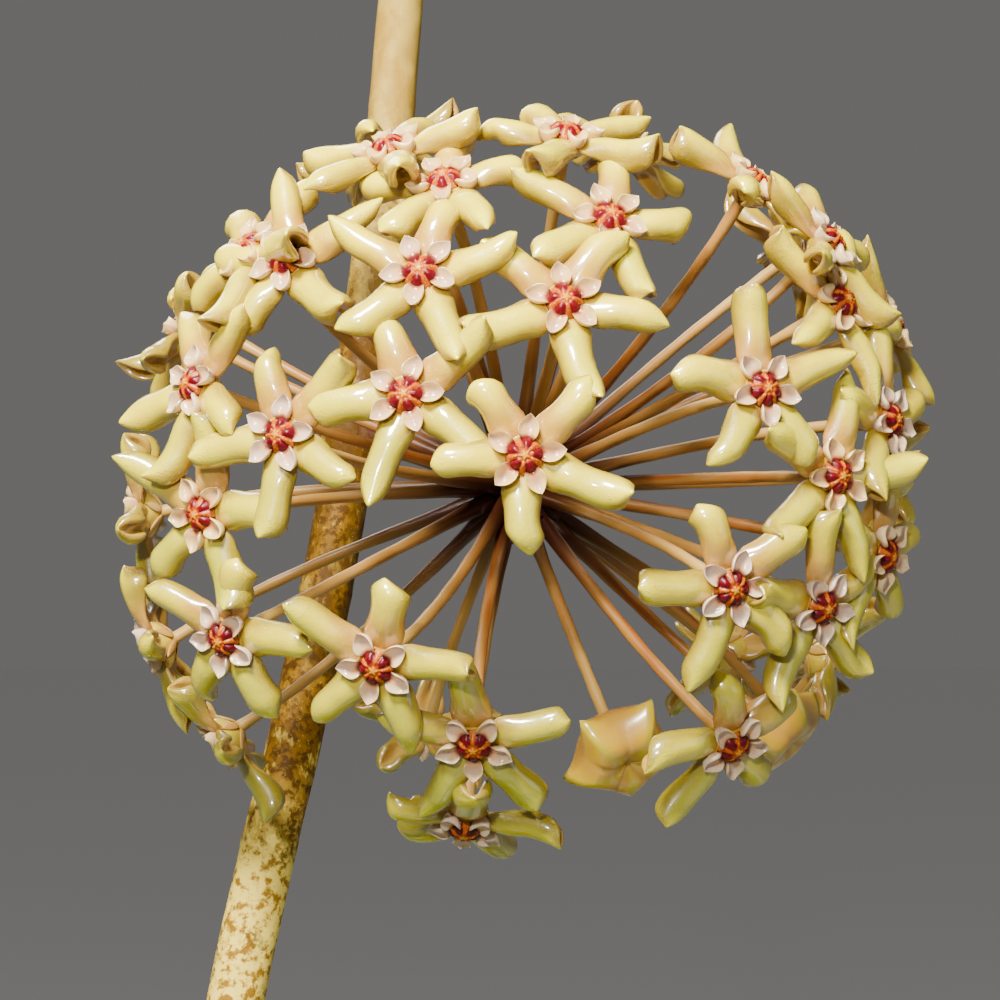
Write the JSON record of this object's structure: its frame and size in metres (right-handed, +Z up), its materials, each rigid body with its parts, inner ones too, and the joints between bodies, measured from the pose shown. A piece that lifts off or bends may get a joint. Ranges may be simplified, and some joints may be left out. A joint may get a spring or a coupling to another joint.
{
  "type": "potted wax plant",
  "caption": "Plain clay pot with a climbing Hoya quinquenervia: stems, thick five-nerved leaves and a ball-shaped umbel of waxy star flowers.",
  "frame": {"origin": "middle of the pot's underside", "axes": "+Z up, the umbel faces -Y, +X to the right of a viewer who faces it"},
  "size_m": [0.3158, 0.2505, 0.4935],
  "materials": {
    "clay": "unglazed fired clay, matte",
    "bark_mix": "loose bark and earth, matte",
    "old_stem": "smooth corky bark, satin",
    "young_stem": "smooth green bark, satin",
    "leaf": "thick waxy leaf, semi-gloss",
    "flowers": "waxy petals, semi-gloss"
  },
  "bodies": {
    "root": {"pot": "clay", "bark_mix": "bark_mix", "stem_main": "old_stem", "stem_right": "young_stem", "stem_left": "young_stem", "umbel": "flowers", "leaf_01": "leaf", "leaf_02": "leaf", "leaf_03": "leaf", "leaf_04": "leaf", "leaf_05": "leaf", "leaf_06": "leaf", "leaf_07": "leaf", "leaf_08": "leaf", "leaf_09": "leaf", "leaf_10": "leaf", "leaf_11": "leaf", "leaf_12": "leaf", "leaf_13": "leaf", "leaf_14": "leaf", "leaf_15": "leaf", "leaf_16": "leaf", "leaf_17": "leaf", "leaf_18": "leaf", "leaf_19": "leaf", "leaf_20": "leaf", "leaf_21": "leaf", "leaf_22": "leaf"}
  },
  "joints": []
}
